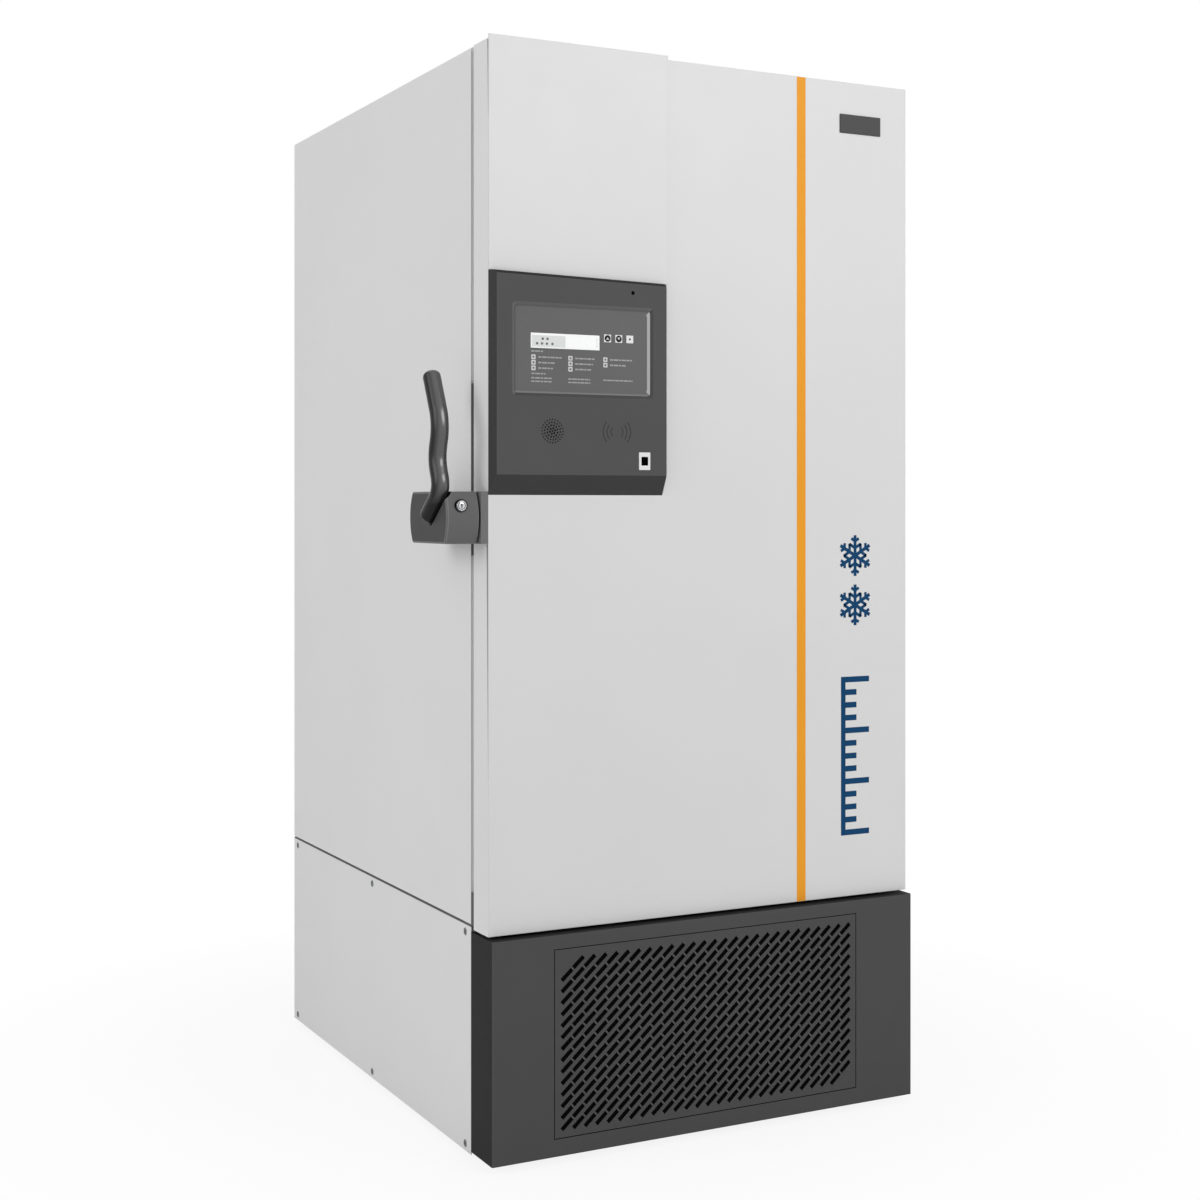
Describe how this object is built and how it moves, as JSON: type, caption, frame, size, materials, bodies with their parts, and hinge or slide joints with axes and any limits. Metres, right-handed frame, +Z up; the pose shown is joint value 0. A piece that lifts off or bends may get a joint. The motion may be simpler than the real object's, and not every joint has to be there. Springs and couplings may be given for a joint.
{
  "type": "ultra low temperature freezer",
  "caption": "Upright laboratory freezer with an insulated hinged door, side latch handle, control panel, slotted base grille and casters.",
  "frame": {"origin": "on the floor, under the middle of the whole outline, with the handle and hinges counted", "axes": "+Z up, -Y the way the door faces, +X to the right of someone who stands in front of it"},
  "size_m": [1.023, 1.1085, 2.002],
  "materials": {
    "white_paint": "white powder coat, satin, very fine orange peel",
    "grey_plastic": "dark grey moulded plastic, fine matt grain",
    "dark_rod": "dark grey painted tube, satin",
    "overlay_film": "mid grey printed film, matt",
    "pale_keys": "white plastic, smooth",
    "display": "pale grey display window, glossy",
    "liner_plastic": "white plastic, smooth",
    "liner_steel": "pale grey coated steel, satin",
    "foam": "pale yellow rigid foam",
    "pale_gasket": "pale grey soft rubber",
    "seal_rubber": "dark grey soft rubber",
    "zinc_steel": "zinc plated steel, satin",
    "chrome_lock": "bright plated metal",
    "black_paint": "black enamel, semi gloss",
    "copper": "bare copper, dull",
    "fin_metal": "bare aluminium, dull",
    "black_plastic": "black moulded plastic",
    "wheel_rubber": "hard dark grey tread",
    "board_green": "green solder mask"
  },
  "bodies": {
    "cabinet": {"outer_cabinet": "white_paint", "rear_panel": "white_paint", "breaker_frame": "liner_plastic", "inner_liner": "liner_steel", "evaporator_coil": "copper", "cabinet_insulation": "foam", "shelves": "liner_steel", "inner_hinge_rod": "zinc_steel", "hinge_brackets": "zinc_steel", "hinge_pins": "zinc_steel", "latch_keeper": "zinc_steel", "latch_strip": "black_plastic", "base_frame": "zinc_steel", "base_bezel": "grey_plastic", "side_panel_left": "white_paint", "side_panel_right": "white_paint", "panel_screws": "chrome_lock", "lower_rear_panel": "white_paint", "power_inlet": "black_plastic", "electrical_box": "zinc_steel", "compressor_first_stage": "black_paint", "compressor_second_stage": "black_paint", "compressor_mounts": "seal_rubber", "condenser": "fin_metal", "fan_shroud": "zinc_steel", "fan_motor": "black_paint", "filter_drier": "copper", "cascade_exchanger": "black_paint", "refrigerant_pipes": "copper", "levelling_feet": "zinc_steel"},
    "door": {"door_shell": "white_paint", "door_insulation": "foam", "door_liner": "liner_plastic", "door_gasket": "pale_gasket", "column_cover": "white_paint", "control_housing": "grey_plastic", "control_board": "board_green", "control_overlay": "overlay_film", "display_window": "display", "service_port": "pale_keys", "hinge_leaves": "zinc_steel", "latch_base": "grey_plastic"},
    "handle": {"handle_hub": "grey_plastic", "handle_rod": "dark_rod"},
    "lock": {"lock_cylinder": "chrome_lock"},
    "up_key": {"key_up": "pale_keys"},
    "down_key": {"key_down": "pale_keys"},
    "set_key": {"key_set": "pale_keys"},
    "lower_inner_door": {"inner_door_lower": "liner_plastic"},
    "upper_inner_door": {"inner_door_upper": "liner_plastic"},
    "grille": {"front_grille": "grey_plastic", "air_filter": "black_plastic"},
    "fan": {"condenser_fan": "black_plastic"},
    "left_caster": {"caster_fork_left": "zinc_steel"},
    "right_caster": {"caster_fork_right": "zinc_steel"},
    "left_front_wheel": {"front_wheel_left": "wheel_rubber"},
    "right_front_wheel": {"front_wheel_right": "wheel_rubber"},
    "left_rear_wheel": {"rear_wheel_left": "wheel_rubber"},
    "right_rear_wheel": {"rear_wheel_right": "wheel_rubber"}
  },
  "joints": [
    {"name": "door_hinge", "type": "hinge", "parent": "cabinet", "child": "door", "pos_m": [0.5015, -0.4655, 0], "axis": [0, 0, 1], "range_deg": [0, 110]},
    {"name": "handle_pivot", "type": "hinge", "parent": "door", "child": "handle", "pos_m": [-0.4625, -0.4475, 1.152], "axis": [1, 0, 0], "range_deg": [0, 80]},
    {"name": "lock_turn", "type": "hinge", "parent": "handle", "child": "lock", "pos_m": [-0.46775, -0.52, 1.173], "axis": [0, 1, 0], "range_deg": [0, 90]},
    {"name": "lower_inner_door_hinge", "type": "hinge", "parent": "cabinet", "child": "lower_inner_door", "pos_m": [0.3385, -0.4415, 0], "axis": [0, 0, 1], "range_deg": [0, 90]},
    {"name": "upper_inner_door_hinge", "type": "hinge", "parent": "cabinet", "child": "upper_inner_door", "pos_m": [0.3385, -0.4415, 0], "axis": [0, 0, 1], "range_deg": [0, 90]},
    {"name": "grille_pull", "type": "slide", "parent": "cabinet", "child": "grille", "axis": [0, -1, 0], "range_m": [0, 0.06]},
    {"name": "fan_spin", "type": "hinge", "parent": "cabinet", "child": "fan", "pos_m": [0.0345, -0.3305, 0.216], "axis": [0, 1, 0], "continuous": true},
    {"name": "up_key_press", "type": "slide", "parent": "door", "child": "up_key", "axis": [0, 1, 0], "range_m": [0, 0.0006], "stiffness_N_per_m": 600},
    {"name": "down_key_press", "type": "slide", "parent": "door", "child": "down_key", "axis": [0, 1, 0], "range_m": [0, 0.0006], "stiffness_N_per_m": 600},
    {"name": "set_key_press", "type": "slide", "parent": "door", "child": "set_key", "axis": [0, 1, 0], "range_m": [0, 0.0006], "stiffness_N_per_m": 600},
    {"name": "left_caster_swivel", "type": "hinge", "parent": "cabinet", "child": "left_caster", "pos_m": [-0.2565, -0.3595, 0.08], "axis": [0, 0, 1], "continuous": true},
    {"name": "left_front_wheel_roll", "type": "hinge", "parent": "left_caster", "child": "left_front_wheel", "pos_m": [-0.2565, -0.3355, 0.0365], "axis": [1, 0, 0], "continuous": true},
    {"name": "left_rear_wheel_roll", "type": "hinge", "parent": "cabinet", "child": "left_rear_wheel", "pos_m": [-0.2565, 0.4525, 0.036], "axis": [1, 0, 0], "continuous": true},
    {"name": "right_caster_swivel", "type": "hinge", "parent": "cabinet", "child": "right_caster", "pos_m": [0.3255, -0.3595, 0.08], "axis": [0, 0, 1], "continuous": true},
    {"name": "right_front_wheel_roll", "type": "hinge", "parent": "right_caster", "child": "right_front_wheel", "pos_m": [0.3255, -0.3355, 0.0365], "axis": [1, 0, 0], "continuous": true},
    {"name": "right_rear_wheel_roll", "type": "hinge", "parent": "cabinet", "child": "right_rear_wheel", "pos_m": [0.3255, 0.4525, 0.036], "axis": [1, 0, 0], "continuous": true}
  ],
  "couplings": [
    {"joint": "lower_inner_door_hinge", "follows": "door_hinge", "ratio": 0.8},
    {"joint": "upper_inner_door_hinge", "follows": "door_hinge", "ratio": 0.8}
  ]
}
